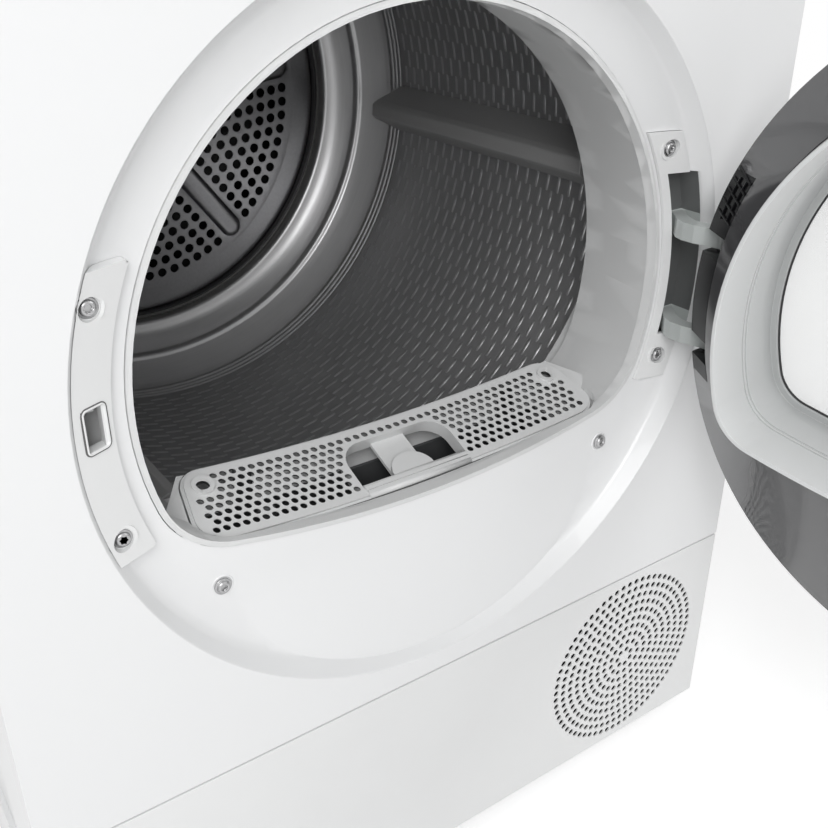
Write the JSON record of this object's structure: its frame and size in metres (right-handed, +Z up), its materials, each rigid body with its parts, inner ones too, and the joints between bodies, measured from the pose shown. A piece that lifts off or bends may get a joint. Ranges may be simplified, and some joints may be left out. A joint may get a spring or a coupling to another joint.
{
  "type": "clothes dryer",
  "caption": "Front-loading clothes dryer with round hinged door held open, pull-out lint filter, condensate container, turning drum and heat pump base.",
  "frame": {"origin": "on the floor, under the centre of the cabinet's footprint", "axes": "+X to the right seen from the front, +Y from the door into the machine, +Z up"},
  "size_m": [0.6192, 1.0653, 0.842],
  "materials": {
    "white_enamel": "gloss white baked enamel",
    "white_plastic": "satin white moulding",
    "grey_plastic": "fine satin light grey moulding",
    "dark_gloss": "polished dark grey moulding",
    "black_plastic": "black moulding",
    "hinge_grey": "satin grey cast arm",
    "drum_steel": "pressed stainless sheet",
    "screw_steel": "bright zinc",
    "galvanised": "galvanised sheet",
    "pane": "clear pane",
    "display_pane": "smoked lens",
    "rubber": "soft rubber",
    "felt": "dense felt",
    "mesh": "fine woven mesh",
    "aluminium": "bare aluminium",
    "copper": "bare tube",
    "compressor_black": "black paint",
    "board_green": "closed electronics case"
  },
  "bodies": {
    "cabinet": {"base_tray": "board_green", "leveling_feet": "black_plastic", "right_side_panel": "white_enamel", "left_side_panel": "white_enamel", "rear_panel": "galvanised", "rear_duct_cover": "galvanised", "worktop": "white_plastic", "front_panel": "white_enamel", "plinth_panel": "white_plastic", "control_panel": "white_plastic", "display_window": "display_pane", "control_board": "board_green", "front_bulkhead": "grey_plastic", "rear_bulkhead": "galvanised", "rear_plate": "drum_steel", "front_seal": "felt", "rear_seal": "felt", "latch_cover": "white_plastic", "hinge_plate": "white_plastic", "hinge_bracket": "hinge_grey", "front_screws": "screw_steel", "roller_axles": "screw_steel", "drive_belt": "rubber", "drive_motor": "compressor_black", "fan_housing": "black_plastic", "compressor": "compressor_black", "evaporator": "aluminium", "condenser": "aluminium", "refrigerant_pipes": "copper", "module_cover": "board_green", "condensate_pump": "black_plastic", "pump_hose": "rubber", "tank_guide": "grey_plastic", "cord_gland": "black_plastic"},
    "door": {"door_frame": "dark_gloss", "door_outer_pane": "pane", "door_liner": "grey_plastic", "door_inner_pane": "pane", "door_seal": "rubber", "door_hinge_pocket": "black_plastic", "door_pin": "screw_steel", "door_hook": "grey_plastic"},
    "lint_filter": {"filter_top": "grey_plastic", "filter_basket": "grey_plastic", "filter_mesh": "mesh"},
    "container": {"tank_front": "white_plastic", "condensate_tank": "grey_plastic"},
    "knob": {"program_knob": "white_plastic"},
    "power": {"power_key": "white_plastic"},
    "start": {"start_key": "white_plastic"},
    "option_left": {"option_key_left": "white_plastic"},
    "option_right": {"option_key_right": "white_plastic"},
    "tongue": {"latch_tongue": "grey_plastic"},
    "drum": {"drum_shell": "drum_steel", "drum_front": "drum_steel", "drum_rear": "drum_steel", "drum_lifters": "grey_plastic"},
    "rotor": {"motor_rotor": "aluminium"},
    "roller_left": {"support_roller_left": "rubber"},
    "roller_right": {"support_roller_right": "rubber"}
  },
  "joints": [
    {"name": "door_hinge", "type": "hinge", "parent": "cabinet", "child": "door", "pos_m": [0.216, -0.324, 0.451], "axis": [0, 0, 1], "range_deg": [-100, 20]},
    {"name": "filter_slide", "type": "slide", "parent": "cabinet", "child": "lint_filter", "axis": [0, 0, 1], "range_m": [0, 0.17]},
    {"name": "container_slide", "type": "slide", "parent": "cabinet", "child": "container", "axis": [0, -1, 0], "range_m": [0, 0.38]},
    {"name": "knob_turn", "type": "hinge", "parent": "cabinet", "child": "knob", "pos_m": [-0.02, -0.3, 0.772], "axis": [0, -1, 0], "continuous": true},
    {"name": "power_press", "type": "slide", "parent": "cabinet", "child": "power", "axis": [0, 1, 0], "range_m": [0, 0.002], "stiffness_N_per_m": 600},
    {"name": "start_press", "type": "slide", "parent": "cabinet", "child": "start", "axis": [0, 1, 0], "range_m": [0, 0.002], "stiffness_N_per_m": 600},
    {"name": "option_left_press", "type": "slide", "parent": "cabinet", "child": "option_left", "axis": [0, 1, 0], "range_m": [0, 0.002], "stiffness_N_per_m": 600},
    {"name": "option_right_press", "type": "slide", "parent": "cabinet", "child": "option_right", "axis": [0, 1, 0], "range_m": [0, 0.002], "stiffness_N_per_m": 600},
    {"name": "tongue_slide", "type": "slide", "parent": "cabinet", "child": "tongue", "axis": [0, 0, 1], "range_m": [0, 0.0015], "stiffness_N_per_m": 800},
    {"name": "drum_spin", "type": "hinge", "parent": "cabinet", "child": "drum", "pos_m": [0, 0, 0.518], "axis": [0, 1, 0], "continuous": true},
    {"name": "rotor_spin", "type": "hinge", "parent": "cabinet", "child": "rotor", "pos_m": [0.205, 0.1, 0.128], "axis": [0, 1, 0], "continuous": true},
    {"name": "roller_left_spin", "type": "hinge", "parent": "cabinet", "child": "roller_left", "pos_m": [-0.1719, 0.178, 0.26315], "axis": [0, 1, 0], "continuous": true},
    {"name": "roller_right_spin", "type": "hinge", "parent": "cabinet", "child": "roller_right", "pos_m": [0.1719, 0.178, 0.26315], "axis": [0, 1, 0], "continuous": true}
  ],
  "couplings": [
    {"joint": "rotor_spin", "follows": "drum_spin", "ratio": 25.035},
    {"joint": "roller_left_spin", "follows": "drum_spin", "ratio": -12.964},
    {"joint": "roller_right_spin", "follows": "drum_spin", "ratio": -12.964}
  ]
}
